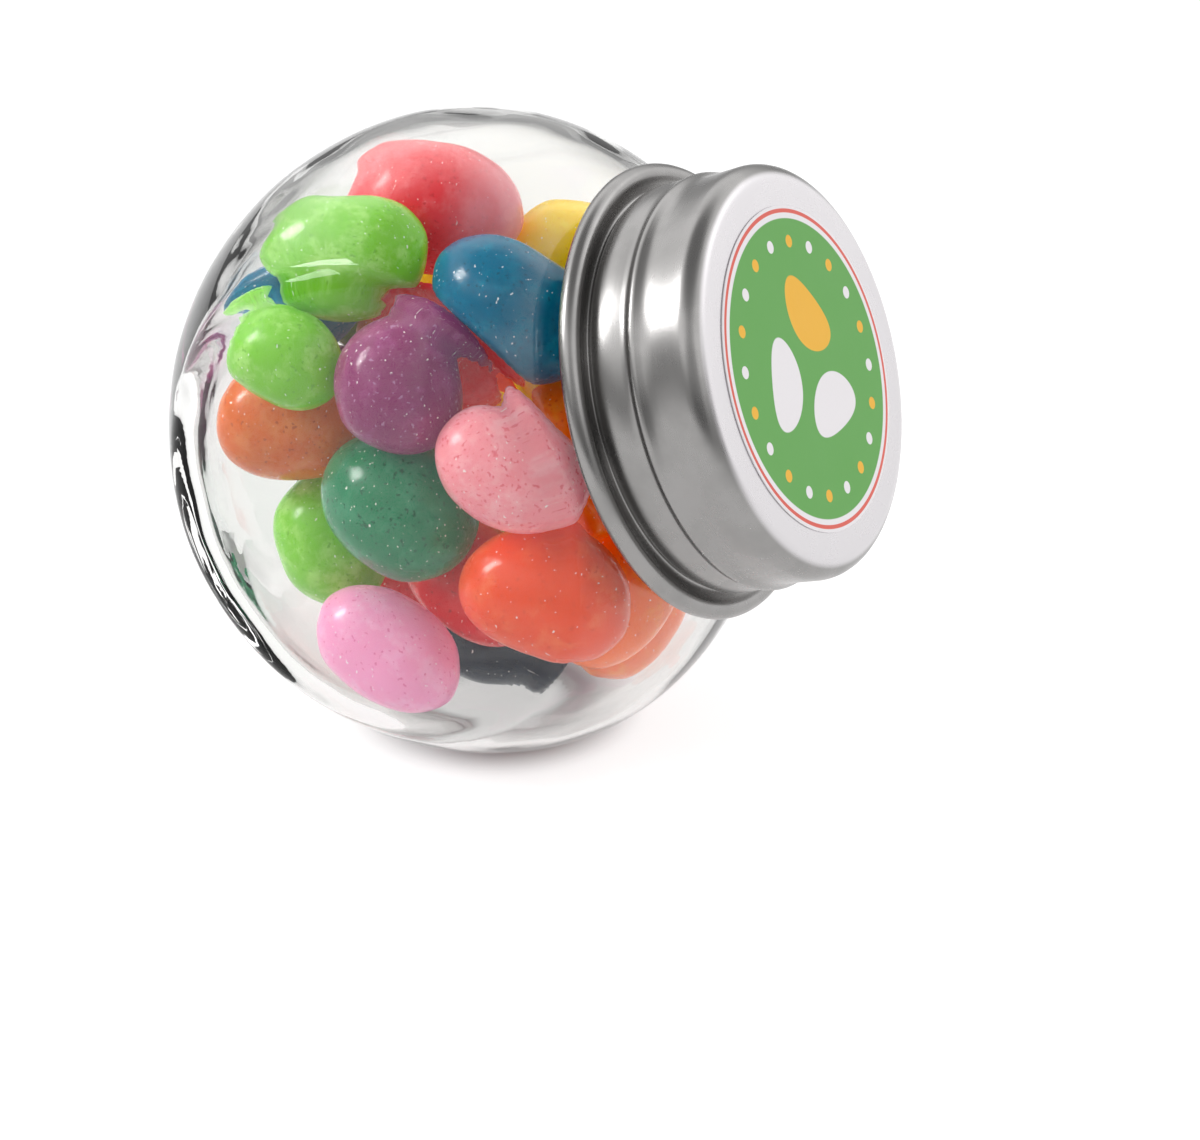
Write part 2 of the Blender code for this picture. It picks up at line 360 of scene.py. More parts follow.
def make_paper(settings):
    """Printed paper: a green disc in a white border with a thin red ring, three plain beans and a ring of dots."""
    finish = new_finish("label_paper")
    place = finish.place(LID_PLACE)
    x, y, _ = finish.axes(place)
    radius = (x * x + y * y).root()
    white = (0.80, 0.77, 0.79)
    green = tuple(settings.green)
    red = tuple(settings.red)
    yellow = tuple(settings.yellow)
    soft = 0.05 * MM
    colour = finish.blend(radius.clear(13.7 * MM - soft, 13.7 * MM + soft), green, white)
    ring = (radius - 14.4 * MM).size().clear(0.16 * MM, 0.16 * MM + soft)
    colour = finish.blend(ring, red, colour)
    for step in range(20):
        turn = step * 18.0 * DEG
        gap = ((x - 11.6 * MM * math.cos(turn)) ** 2 + (y - 11.6 * MM * math.sin(turn)) ** 2).root()
        colour = finish.blend(gap.clear(0.55 * MM, 0.55 * MM + soft), yellow if step % 2 else white, colour)
    for step, paint in enumerate((white, yellow, white)):
        turn = (step * 120.0 + 30.0) * DEG
        middle_x = 4.7 * MM * math.cos(turn)
        middle_y = 4.7 * MM * math.sin(turn)
        lean = turn + 62.0 * DEG
        along = (x - middle_x) * math.cos(lean) + (y - middle_y) * math.sin(lean)
        across = (y - middle_y) * math.cos(lean) - (x - middle_x) * math.sin(lean)
        bent = across + along * along * 45.0
        reach = (along * along / (4.3 * MM) ** 2 + bent * bent / (2.7 * MM) ** 2).root()
        colour = finish.blend(reach.clear(0.98, 1.01), paint, colour)
    fibre = finish.grain(place, 0.35 * MM, 4.0, 0.6)
    wear = finish.grain(place, 4.0 * MM, 4.0, 0.6)
    shade = finish.blend(fibre, (0.97, 0.97, 0.97), (1.0, 1.0, 1.0))
    colour = finish.blend(1.0, colour, shade, "MULTIPLY")
    rough = 0.42 + 0.12 * wear
    bump = finish.relief(fibre, 0.006 * MM)
    finish.dress({"Base Color": colour, "Roughness": rough, "Normal": bump, "Specular IOR Level": 0.3})
    return finish.owner


# Each kind of bean: colour, pale colour of its clouds, share of clouds, colour of its specks, share of specks.
SUGAR = {
    "lime": ((0.18, 0.54, 0.02), (0.34, 0.68, 0.14), 0.45, (0.11, 0.38, 0.01), 0.10),
    "purple": ((0.24, 0.025, 0.13), (0.32, 0.06, 0.20), 0.40, (0.42, 0.20, 0.36), 0.14),
    "brown": ((0.62, 0.12, 0.01), (0.66, 0.20, 0.05), 0.45, (0.36, 0.06, 0.01), 0.15),
    "teal": ((0.012, 0.21, 0.09), (0.04, 0.28, 0.14), 0.40, (0.0, 0.08, 0.04), 0.30),
    "salmon": ((0.93, 0.30, 0.35), (0.95, 0.42, 0.47), 0.55, (0.80, 0.13, 0.18), 0.30),
    "coral": ((0.86, 0.07, 0.008), (0.90, 0.14, 0.04), 0.35, (0.66, 0.04, 0.0), 0.12),
    "pink": ((0.94, 0.37, 0.61), (0.96, 0.48, 0.70), 0.35, (0.78, 0.18, 0.38), 0.08),
    "dark_red": ((0.66, 0.01, 0.015), (0.72, 0.05, 0.05), 0.35, (0.28, 0.0, 0.0), 0.12),
    "navy": ((0.003, 0.008, 0.025), (0.01, 0.02, 0.05), 0.30, (0.0, 0.003, 0.01), 0.15),
    "blue": ((0.0, 0.13, 0.24), (0.0, 0.19, 0.31), 0.40, (0.0, 0.06, 0.12), 0.15),
    "red": ((0.80, 0.015, 0.03), (0.85, 0.09, 0.11), 0.50, (0.58, 0.0, 0.01), 0.20),
    "yellow": ((0.92, 0.62, 0.0), (0.94, 0.72, 0.06), 0.35, (0.82, 0.45, 0.0), 0.12),
    "orange": ((0.97, 0.15, 0.0), (0.97, 0.26, 0.01), 0.35, (0.75, 0.07, 0.0), 0.10),
    "olive": ((0.11, 0.19, 0.003), (0.19, 0.28, 0.02), 0.35, (0.05, 0.09, 0.0), 0.15),
}


def make_sugar(kind):
    """A polished sugar shell: even colour under pale clouds, fine specks and a thin wax shine, with a painted glow in
    its own colour that stands in for light let through the sugar.
    """
    colour, pale, cloudy, speck, specked = SUGAR[kind]
    finish = new_finish(kind + "_sugar")
    place = finish.place()
    clouds = finish.grain(place, 2.6 * MM, 4.0, 0.62)
    fine = finish.grain(place, 0.55 * MM, 3.0, 0.6)
    dots = finish.grain(place, 0.42 * MM, 1.0, 0.4)
    wax = finish.grain(place, 6.0 * MM, 2.0, 0.5)
    high = 0.78 - 0.25 * cloudy
    painted = finish.blend((clouds * 0.8 + fine * 0.2).clear(high - 0.22, high), colour, pale)
    painted = finish.blend(dots.clear(0.69 - 0.2 * specked, 0.75 - 0.2 * specked) * 0.75, painted, speck)
    crumbs = finish.grain(finish.stretch(place, (1.35, 1.1, 0.85)), 0.38 * MM, 1.0, 0.3)
    painted = finish.blend(crumbs.clear(0.735, 0.775) * 0.7, painted, (0.95, 0.93, 0.90))
    # Red beans turn paler pink where they reach the upper right of the jar.
    if kind == "red":
        x, _, z = finish.axes(place)
        paler_upper_end = (x - BALL_CENTRE.x + 6.0 * MM).clear(0.0, 5.0 * MM) * (z - BALL_CENTRE.z - 12.0 * MM).clear(0.0, 3.0 * MM)
        painted = finish.blend(paler_upper_end * (0.45 + 0.5 * clouds), painted, (0.90, 0.40, 0.46))
    rough = 0.13 + 0.15 * wax.clear(0.35, 0.7) + 0.05 * fine
    bump = finish.relief(clouds * 0.6 + fine * 0.4, 0.05 * MM, 0.6)
    finish.dress(
        {
            "Base Color": painted,
            # Painted light: the bean glows faintly in its own colour, standing in for the light the sugar lets through
            # into its shaded side.
            "Emission Color": painted,
            "Emission Strength": 0.15,
            "Roughness": rough,
            "Normal": bump,
            "IOR": 1.48,
            "Specular IOR Level": 0.38,
            "Subsurface Weight": 0.45,
            "Subsurface Radius": (1.0, 0.7, 0.5),
            "Subsurface Scale": 2.2 * MM,
            "Coat Weight": 0.1,
            "Coat Roughness": 0.1,
        }
    )
    return finish.owner


def make_floor_paint():
    """A matt white light table that glows evenly, with a painted shadow: its glow is dimmed in a soft ring round the
    jar's foot, and a painted pool of light brightens the floor just under the jar.
    """
    finish = new_finish("pale_floor")
    place = finish.place()
    x, y, _ = finish.axes(place)
    clouds = finish.grain(place, 0.4, 2.0)
    colour = finish.blend(clouds, (0.34, 0.34, 0.34), (0.37, 0.37, 0.37))
    away = ((x - BALL_CENTRE.x) ** 2 + (y - BALL_CENTRE.y) ** 2).root()
    # Painted light: a brighter pool in the middle, under the jar, as if light gathered through the glass.
    painted_light_pool = 0.6 * (1.0 - away.clear(5.0 * MM, 9.5 * MM))
    # Painted shadow: the floor's glow is dimmed in a soft ring round the jar's foot, out to about 15 mm.
    glow_share_with_painted_shadow = away.clear(8.0 * MM, 15.5 * MM) + painted_light_pool
    glow_with_painted_shadow = finish.blend(glow_share_with_painted_shadow, (0.02, 0.022, 0.026), (1.0, 1.0, 1.0))
    finish.dress(
        {
            "Base Color": colour,
            "Roughness": 0.9,
            "Specular IOR Level": 0.0,
            "Emission Color": glow_with_painted_shadow,
            "Emission Strength": 0.78,
        }
    )
    return finish.owner


# ---------------------------------------------------------------- mesh helpers


def arc(centre, radius, start, end, steps):
    """(radius, height) points along an arc, angles in degrees measured up from level."""
    points = []
    for i in range(steps + 1):
        angle = (start + (end - start) * i / steps) * DEG
        points.append((centre[0] + radius * math.cos(angle), centre[1] + radius * math.sin(angle)))
    return points


def spin_chain(points, steps):
    """An open chain of (radius, height) points turned fully about Z."""
    shape = bmesh.new()
    verts = [shape.verts.new((radius, 0.0, height)) for radius, height in points]
    for first, second in zip(verts, verts[1:]):
        shape.edges.new((first, second))
    bmesh.ops.spin(
        shape,
        geom=verts + list(shape.edges),
        axis=UP,
        cent=(0.0, 0.0, 0.0),
        angle=2.0 * math.pi,
        steps=steps,
        use_merge=True,
        use_duplicate=False,
    )
    bmesh.ops.remove_doubles(shape, verts=shape.verts, dist=0.001 * MM)
    return shape


def finish_piece(shape, name, material, slot, *replaced):
    """Makes the bmesh an object that rides on the jar."""
    mesh = bpy.data.meshes.new(name)
    shape.to_mesh(mesh)
    shape.free()
    mesh.shade_smooth()
    mesh.materials.append(material)
    piece = bpy.data.objects.new(name, mesh)
    bpy.context.scene.collection.objects.link(piece)
    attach(piece, "root")
    if replaced:
        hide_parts(*replaced)
    return piece


# ---------------------------------------------------------------- glass


class Skin:
    """One side of the glass: a ball with two flat windows, drawn in towards the neck and the base."""

    def __init__(self, radius, half_thickness, edge, base_edge, shoulder_drop, base_drop):
        self.radius = radius
        self.half_thickness = half_thickness
        self.edge = edge
        self.base_edge = base_edge
        self.shoulder_drop = shoulder_drop
        self.base_drop = base_drop

    def reach(self, direction):
        """Distance from the middle to the undrawn ball, edge or window."""
        level = math.hypot(direction.x, direction.z)
        height = abs(direction.y)
        towards_base = -direction.dot(LID_AXIS) / max(level, 0.001)
        share = min(1.0, max(0.0, 0.5 + 0.8 * towards_base))
        edge = self.edge + (self.base_edge - self.edge) * share * share * (3.0 - 2.0 * share)
        rise = self.half_thickness - edge
        run = math.sqrt((self.radius - edge) ** 2 - rise**2)
        if height * run > level * self.half_thickness:
            return self.half_thickness / height
        if height * run < level * rise:
            return self.radius
        along = level * run + height * rise
        return along + math.sqrt(along**2 + edge**2 - run**2 - rise**2)

    def taper(self, along):
        if along > 0.0:
            return 1.0 - self.shoulder_drop * along**2
        return 1.0 - self.base_drop * along**4

    def point(self, angle, around):
        """The skin's point at an angle from the lid's axis, on the side of it that around points to."""
        direction = LID_AXIS * math.cos(angle) + around * math.sin(angle)
        spot = direction * self.reach(direction)
        kept = self.taper(math.cos(angle))
        return Vector((spot.x * kept, spot.y, spot.z * kept))

    def angle_at(self, distance, around):
        """The angle at which the skin comes within that distance of the lid's axis."""
        low = 0.1
        high = 1.2
        for _ in range(24):
            middle = 0.5 * (low + high)
            spot = self.point(middle, around)
            gap = (spot - LID_AXIS * spot.dot(LID_AXIS)).length
            if gap < distance:
                low = middle
            else:
                high = middle
        return high


BALL_RINGS = 104
HOLLOW_RINGS = 96
FILLET_RINGS = 6
OUTER_FILLET = 1.3 * MM
INNER_FILLET = 1.8 * MM


def fillet_point(start, corner, end, share):
    """A point on the soft curve that leaves start and arrives at end as if rounding the corner."""
    return start * (1.0 - share) ** 2 + corner * (2.0 * share * (1.0 - share)) + end * share**2


def neck_ring(radius, height, around):
    return LID_AXIS * height + around * radius


def side_rings(skin, around, neck_radius, fillet, rings):
    """Points of one skin from the base to where it has turned into the neck's wall."""
    rim = skin.angle_at(neck_radius + 0.7 * fillet, around)
    line = [skin.point(math.pi + (rim - math.pi) * i / rings, around) for i in range(rings + 1)]
    start = line[-1]
    heading = (line[-1] - line[-2]).normalized()
    inward = -heading.dot(around)
    corner = start + heading * ((start.dot(around) - neck_radius) / max(inward, 0.2))
    end = neck_ring(neck_radius, corner.dot(LID_AXIS) + fillet, around)
    line += [fillet_point(start, corner, end, i / FILLET_RINGS) for i in range(1, FILLET_RINGS + 1)]
    return line


def lip_rings(settings, around, outer_start, inner_start):
    """Points over the neck: up its outside, round the lip and down the bore."""
    lip = 0.5 * (settings.neck_radius - settings.bore_radius)
    middle = 0.5 * (settings.neck_radius + settings.bore_radius)
    rise = settings.neck_top - lip
    line = []
    for i in range(1, 8):
        line.append((settings.neck_radius, outer_start + (rise - outer_start) * i / 8.0))
    line += arc((middle, rise), lip, 0.0, 180.0, 10)
    for i in range(1, 8):
        line.append((settings.bore_radius, rise + (inner_start - rise) * i / 8.0))
    return [neck_ring(radius, height, around) for radius, height in line]


def wall_line(settings, outer, inner, around):
    """One section of the whole wall, from the outside of the base over the lip to the inside of the base."""
    outside = side_rings(outer, around, settings.neck_radius, OUTER_FILLET, BALL_RINGS)
    inside = side_rings(inner, around, settings.bore_radius, INNER_FILLET, HOLLOW_RINGS)
    lip = lip_rings(settings, around, outside[-1].dot(LID_AXIS), inside[-1].dot(LID_AXIS))
    return outside, lip, inside[::-1]


def swell(place, size, seed):
    """Slow waves between -1 and 1."""
    return noise.noise(place / size + Vector((seed, 0.0, -seed))) + 0.5 * noise.noise(place * 2.1 / size)


def hollow_skin(settings):
    return Skin(
        BALL_RADIUS - settings.wall,
        settings.half_thickness - settings.window_wall,
        settings.inner_edge,
        settings.base_edge,
        settings.shoulder_drop,
        settings.inner_base_drop,
    )


def build_glass(settings):
    edge = settings.window_edge
    outer = Skin(BALL_RADIUS, settings.half_thickness, edge, edge, settings.shoulder_drop, BASE_DROP)
    inner = hollow_skin(settings)
    side = LID_AXIS.cross(Vector((0.0, 1.0, 0.0))).normalized()
    count = sum(len(part) for part in wall_line(settings, outer, inner, side))
    shape = spin_chain([(min(i, count - 1 - i) + 1.0, float(i)) for i in range(count)], settings.steps)
    lines = {}
    for vert in shape.verts:
        ring = round(vert.co.z)
        turn = round(math.atan2(vert.co.y, vert.co.x) / (2.0 * math.pi) * settings.steps) % settings.steps
        if turn not in lines:
            angle = turn * 2.0 * math.pi / settings.steps
            around = Matrix.Rotation(angle, 3, LID_AXIS) @ side
            outside, lip, inside = wall_line(settings, outer, inner, around)
            outside = uneven(outside, 0.1 * settings.ripple, 0.2 * settings.ripple)
            lines[turn] = outside + lip + uneven(inside, 0.4 * settings.ripple, 0.8 * settings.ripple)
        vert.co = BALL_CENTRE + lines[turn][ring]
        vert.co.z = max(vert.co.z, JAR_LOW.z)
    bmesh.ops.remove_doubles(shape, verts=shape.verts, dist=0.002 * MM)
    bmesh.ops.recalc_face_normals(shape, faces=shape.faces)
    return shape


def soft_step(value, low, high):
    share = min(1.0, max(0.0, (value - low) / (high - low)))
    return share * share * (3.0 - 2.0 * share)


def uneven(line, depth, base_depth):
    """Moves points in and out along their own direction, most in the thick base outside the windows."""
    moved = []
    for spot in line:
        direction = spot.normalized()
        towards_base = soft_step(-direction.dot(LID_AXIS), -0.35, 0.75)
        outside = soft_step(math.hypot(spot.x, spot.z), 18.6 * MM, 22.0 * MM)
        wave = swell(spot, 9.0 * MM, 3.7)
        rough = swell(spot, 6.5 * MM, 8.1) + 0.12 * swell(spot, 2.2 * MM, 2.2)
        away_from_neck = soft_step(-spot.dot(LID_AXIS), -20.0 * MM, -13.0 * MM)
        push = depth * wave * (0.3 + 0.7 * outside) + base_depth * rough * towards_base * outside
        moved.append(spot + direction * (push * away_from_neck))
    return moved


# ---------------------------------------------------------------- lid


def lid_profile(settings):
    """The outside of the lid, from the middle of its face down to the end of the rolled edge."""
    corner = (settings.radius - settings.shoulder, settings.top - settings.shoulder)
    points = [(0.0, settings.top)]
    for i in range(1, 12):
        points.append((corner[0] * i / 12.0, settings.top))
    points += arc(corner, settings.shoulder, 90.0, 0.0, 10)
    skirt = [
        (18.96, 32.2), (18.90, 31.2), (18.84, 30.2), (18.86, 29.5), (18.98, 29.0), (19.15, 28.65), (19.25, 28.35),
        (19.22, 28.1), (19.05, 27.85), (18.90, 27.6), (18.85, 27.3), (18.90, 26.9), (19.0, 26.3), (19.05, 25.6),
        (19.03, 24.9), (18.92, 24.35), (18.7, 23.9), (18.45, 23.6), (18.34, 23.4), (18.42, 23.25), (18.75, 23.22),
        (19.25, 23.3),
    ]
    points += [(radius * MM, height * MM) for radius, height in skirt]
    points += arc((20.2 * MM, 22.65 * MM), 0.97 * MM, 128.0, -170.0, 22)
    return points


def build_lid(settings):
    shape = spin_chain(lid_profile(settings), settings.steps)
    bmesh.ops.recalc_face_normals(shape, faces=shape.faces)
    top = max(shape.faces, key=lambda face: face.calc_center_median().z)
    if top.normal.z < 0.0:
        bmesh.ops.reverse_faces(shape, faces=shape.faces)
    bmesh.ops.transform(shape, matrix=LID_PLACE, verts=shape.verts)
    return shape


# ---------------------------------------------------------------- label


def build_label(settings, lid_top):
    """A thin disc of paper with a soft edge, stuck on the lid's face."""
    height = lid_top + 0.01 * MM
    edge = 0.5 * settings.paper
    points = [(0.0, height), (0.5 * settings.radius, height), (settings.radius - 0.02 * MM, height)]
    points += arc((settings.radius - edge, height + edge), edge, -60.0, 90.0, 5)
    points += [(settings.radius * share, height + settings.paper) for share in (0.95, 0.8, 0.6, 0.4, 0.2, 0.0)]
    shape = spin_chain(points, 128)
    bmesh.ops.transform(shape, matrix=LID_PLACE, verts=shape.verts)
    bmesh.ops.recalc_face_normals(shape, faces=shape.faces)
    return shape


# ---------------------------------------------------------------- jelly beans

# Beans that can be seen: kind, place from the middle of the jar, long axis, length and width, all in mm.
PLACED = [
    ("lime", (-10.4, -13.6, 11.0), (0.9, -0.1, -0.2), 12.2, 9.4),
    ("purple", (1.4, -12.8, 8.8), (0.3, -0.3, -0.9), 12.8, 11.8),
    ("brown", (-15.2, -9.0, 0.9), (0.93, 0.3, 0.1), 15.0, 12.4),
    ("teal", (-2.9, -12.3, -2.3), (0.85, 0.1, -0.5), 15.6, 13.4),
    ("salmon", (6.4, -14.0, 2.8), (0.9, 0.15, -0.35), 14.4, 10.6),
    ("coral", (12.6, -12.8, -3.8), (0.9, 0.2, -0.2), 15.5, 12.0),
    ("lime", (-12.4, -7.5, -10.8), (0.4, -0.2, -0.85), 13.5, 11.0),
    ("pink", (-2.8, -14.3, -14.5), (0.85, 0.05, -0.5), 15.2, 11.2),
    ("dark_red", (-1.0, -4.5, -15.5), (0.9, -0.2, -0.4), 15.0, 11.0),
    ("navy", (0.7, 1.5, -18.0), (0.9, 0.25, 0.3), 14.0, 10.0),
    ("blue", (-18.5, 1.0, 8.6), (0.6, 0.5, 0.6), 15.0, 11.0),
    ("red", (-3.5, -0.5, 12.5), (0.8, 0.3, -0.55), 15.0, 10.6),
    ("olive", (7.0, 1.5, 6.0), (0.9, 0.0, -0.4), 15.0, 11.0),
    ("yellow", (3.5, 5.0, -2.5), (0.9, -0.1, -0.4), 14.5, 11.0),
    ("orange", (11.0, -3.0, 1.0), (0.5, -0.3, -0.8), 15.5, 11.5),
    ("orange", (13.6, 0.0, -13.2), (0.4, 0.3, 0.9), 15.0, 11.0),
    ("red", (-11.8, 7.5, 22.8), (0.85, 0.4, -0.2), 17.0, 13.6),
    ("lime", (-16.0, -5.0, 22.6), (0.95, 0.3, 0.0), 15.8, 11.6),
    ("yellow", (1.0, 10.5, 11.0), (0.9, 0.3, -0.2), 15.0, 10.6),
    ("blue", (10.0, -6.0, 14.2), (0.88, 0.1, -0.4), 16.6, 12.0),
]
LOOSE_KINDS = ["coral", "yellow", "purple", "lime", "blue", "pink", "teal", "orange", "red", "brown", "salmon", "olive"]
HEAP_FRONT = 17.5 * MM  # how far the beans reach towards the lid
SPHERES = np.array([-1.0, 0.0, 1.0])  # a bean's stand-in while it settles is three balls in a row
END_BALL = 0.93  # size of an end ball next to the middle one
LOOSE_FRONT = 4.0 * MM  # loose beans stay behind this plane, out of the front row
LOOSE_TOP = 10.5 * MM
CLEARANCE = 0.35 * MM  # left between a bean and the glass for its lumps


class Heap:
    """Beans that push each other apart inside the hollow for a set number of steps."""

    def __init__(self, skin, places, axes, lengths, widths, held):
        self.skin = skin
        self.places = places
        self.axes = axes / np.linalg.norm(axes, axis=1, keepdims=True)
        self.radii = 0.5 * widths
        self.spreads = 0.5 * lengths - END_BALL * self.radii
        self.held = held
        self.homes = places.copy()
        self.home_axes = self.axes.copy()
        count = len(places)
        self.owners = np.repeat(np.arange(count), 3)
        self.balls = np.repeat(self.radii, 3) * np.tile([END_BALL, 1.0, END_BALL], count)
        first, second = np.triu_indices(3 * count, 1)
        apart = self.owners[first] != self.owners[second]
        self.first = first[apart]
        self.second = second[apart]
        self.lid_axis = np.array(LID_AXIS)

    def spots(self):
        offsets = SPHERES[None, :, None] * (self.axes * self.spreads[:, None])[:, None, :]
        return (self.places[:, None] + offsets).reshape(-1, 3)

    def keep_in(self, spots):
        """Moves balls that stick out of the hollow back to its wall."""
        lengths = np.linalg.norm(spots, axis=1) + 1e-9
        along = spots @ self.lid_axis / lengths
        skin = self.skin
        kept = np.where(along > 0.0, 1.0 - skin.shoulder_drop * along**2, 1.0 - skin.base_drop * along**4)
        x = spots[:, 0] / kept
        z = spots[:, 2] / kept
        level = np.hypot(x, z) + 1e-9
        height = np.abs(spots[:, 1])
        half = skin.half_thickness - CLEARANCE - self.balls
        edge = np.maximum(skin.base_edge - self.balls, 0.3 * MM)
        radius = skin.radius - CLEARANCE - self.balls
        rise = half - edge
        run = np.sqrt((radius - edge) ** 2 - rise**2)
        out = np.hypot(level - run, height - rise) + 1e-9
        at_corner = (level > run) & (height > rise) & (height * run >= level * rise)
        past_corner = at_corner & (out > edge)
        past_window = (level <= run) & (height > half)
        size = np.hypot(level, height)
        past_ball = ~at_corner & ~(level <= run) & (size > radius)
        new_level = np.where(past_corner, run + (level - run) * edge / out, level)
        new_height = np.where(past_corner, rise + (height - rise) * edge / out, height)
        new_height = np.where(past_window, half, new_height)
        new_level = np.where(past_ball, level * radius / size, new_level)
        new_height = np.where(past_ball, height * radius / size, new_height)
        share = new_level / level
        return np.stack([x * share * kept, np.sign(spots[:, 1]) * new_height, z * share * kept], axis=1)

    def step(self, pull, fall):
        loose = 1.0 - self.held
        self.places = self.places + np.outer(loose, (0.0, 0.0, -fall))
        self.places = self.places + (self.homes - self.places) * (self.held * pull)[:, None]
        self.places[:, 1] = np.maximum(self.places[:, 1], np.where(self.held > 0.5, -1.0, LOOSE_FRONT))
        self.places[:, 2] = np.minimum(self.places[:, 2], np.where(self.held > 0.5, 1.0, LOOSE_TOP))
        spots = self.spots()
        gaps = spots[self.first] - spots[self.second]
        lengths = np.linalg.norm(gaps, axis=1) + 1e-9
        wanted = self.balls[self.first] + self.balls[self.second]
        hit = lengths < wanted
        first = self.first[hit]
        second = self.second[hit]
        ways = gaps[hit] / lengths[hit][:, None]
        depth = (wanted - lengths)[hit]
        ease_first = 1.0 - 0.8 * self.held[self.owners[first]]
        ease_second = 1.0 - 0.8 * self.held[self.owners[second]]
        share = ease_first / (ease_first + ease_second)
        moves = np.zeros_like(spots)
        hits = np.ones(len(spots))
        np.add.at(moves, first, ways * (depth * share)[:, None])
        np.add.at(moves, second, -ways * (depth * (1.0 - share))[:, None])
        np.add.at(hits, first, 1.0)
        np.add.at(hits, second, 1.0)
        spots = spots + moves * (0.7 / np.sqrt(hits))[:, None]
        front = np.maximum(spots @ self.lid_axis - (HEAP_FRONT - self.balls), 0.0)
        spots = spots - front[:, None] * self.lid_axis
        spots = self.keep_in(spots)
        threes = spots.reshape(-1, 3, 3)
        self.places = threes.mean(axis=1)
        ways = threes[:, 2] - threes[:, 0]
        self.axes = ways / np.linalg.norm(ways, axis=1, keepdims=True)
        self.axes = self.axes + (self.home_axes - self.axes) * (0.3 * self.held)[:, None]
        self.axes = self.axes / np.linalg.norm(self.axes, axis=1, keepdims=True)

    def settle(self, steps=900):
        calm = int(0.6 * steps)
        for i in range(steps):
            if i < calm:
                self.step(0.25, 0.02 * MM)
            else:
                self.step(0.05 * (steps - i) / (steps - calm), 0.0)


def draw_beans(settings, skin):
    """All beans as (kind, place, long axis, length, width, seed), after they have settled."""
    draw = np.random.default_rng(settings.seed)
    heading = np.array(LID_AXIS)
    kinds = [kind for kind, *_ in PLACED]
    places = [np.array(place) * MM for _, place, *_ in PLACED]
    axes = [np.array(axis) for _, _, axis, _, _ in PLACED]
    lengths = [length * MM for _, _, _, length, _ in PLACED]
    widths = [width * MM for _, _, _, _, width in PLACED]
    while len(kinds) < len(PLACED) + settings.loose_count:
        place = draw.uniform(-26.0, 26.0, 3) * MM
        if 3.0 * MM < place[1] < 15.0 * MM and np.linalg.norm(place) < 24.0 * MM and place @ heading < 14.0 * MM:
            kinds.append(LOOSE_KINDS[(len(kinds) * 5) % len(LOOSE_KINDS)])
            places.append(place)
            axes.append(draw.normal(size=3))
            lengths.append(draw.uniform(14.0, 15.8) * MM)
            widths.append(draw.uniform(10.2, 11.6) * MM)
    held = np.array([1.0] * len(PLACED) + [0.0] * settings.loose_count)
    heap = Heap(skin, np.array(places), np.array(axes), np.array(lengths), np.array(widths), held)
    heap.settle()
    return [
        (kind, Vector(place), Vector(axis), length, width, index)
        for index, (kind, place, axis, length, width) in enumerate(zip(kinds, heap.places, heap.axes, lengths, widths))
    ]


def add_bean(shape, settings, place, axis, length, width, index):
    """One bean: a ball drawn long, bent like a kidney, with a thicker end, a dent and soft lumps."""
    facing = Vector((0.0, -1.0, 0.0))
    side = axis.cross(facing)
    if side.length < 0.2:
        side = axis.cross(UP)
    side.normalize()
    turn = Matrix.Rotation(2.4 * index, 3, axis)
    side = turn @ side
    third = axis.cross(side)
    made = bmesh.ops.create_icosphere(shape, subdivisions=5, radius=1.0)
    shift = Vector((17.3 * index, 5.1 * index, -9.7 * index))
    half_length = 0.5 * length
    half_width = 0.5 * width
    lean = 0.05 if index % 2 else -0.04
    for vert in made["verts"]:
        unit = vert.co.copy()
        lump = noise.noise(unit * 1.3 + shift) + 0.4 * noise.noise(unit * 2.9 - shift)
        blunt = 1.0 + 0.04 * (1.0 - unit.x**2) * unit.x**2 * 4.0
        fat = (1.0 + lean * unit.x) * blunt
        along = unit.x * half_length
        bent = (unit.x**2 - 0.35) * settings.bend * length
        across = unit.y * half_width * fat * 0.98 + bent
        up = unit.z * half_width * fat * 0.95
        grow = 1.0 + settings.unevenness * lump / half_width
        vert.co = BALL_CENTRE + place + axis * (along * grow) + side * (across * grow) + third * (up * grow)


# ---------------------------------------------------------------- stage


def add_camera(settings):
    lens = 99.0
    right = Vector((math.cos(settings.azimuth), math.sin(settings.azimuth), 0.0))
    out = Vector((math.sin(settings.azimuth), -math.cos(settings.azimuth), 0.0))
    back = out * math.cos(settings.elevation) + UP * math.sin(settings.elevation)
    up = back.cross(right)
    data = bpy.data.cameras.new("camera")
    data.lens = lens
    data.sensor_width = 36.0
    data.clip_start = 0.01
    data.clip_end = 20.0
    camera = bpy.data.objects.new("camera", data)
    bpy.context.scene.collection.objects.link(camera)
    spot = BALL_CENTRE + right * settings.right - up * settings.down + back * settings.distance
    turn = Matrix((right, up, back)).transposed()
    camera.matrix_world = Matrix.Translation(spot) @ turn.to_4x4()
    bpy.context.scene.camera = camera


def add_softbox(name, azimuth, elevation, distance, width, height, brightness):
    """A flat lamp that looks at the jar."""
    data = bpy.data.lights.new(name, "AREA")
    data.shape = "RECTANGLE"
    data.size = width
    data.size_y = height
    data.energy = brightness * math.pi * width * height
    lamp = bpy.data.objects.new(name, data)
    bpy.context.scene.collection.objects.link(lamp)
    way = way_to(azimuth, elevation)
    turn = way.to_track_quat("Z", "Y").to_matrix().to_4x4()
    lamp.matrix_world = Matrix.Translation(BALL_CENTRE + way * distance) @ turn
    return lamp


def way_to(azimuth, elevation):
    """Unit vector from the jar towards that side; azimuth 0 is the front, -Y."""
    level = math.cos(elevation * DEG)
    return Vector((math.sin(azimuth * DEG) * level, -math.cos(azimuth * DEG) * level, math.sin(elevation * DEG)))


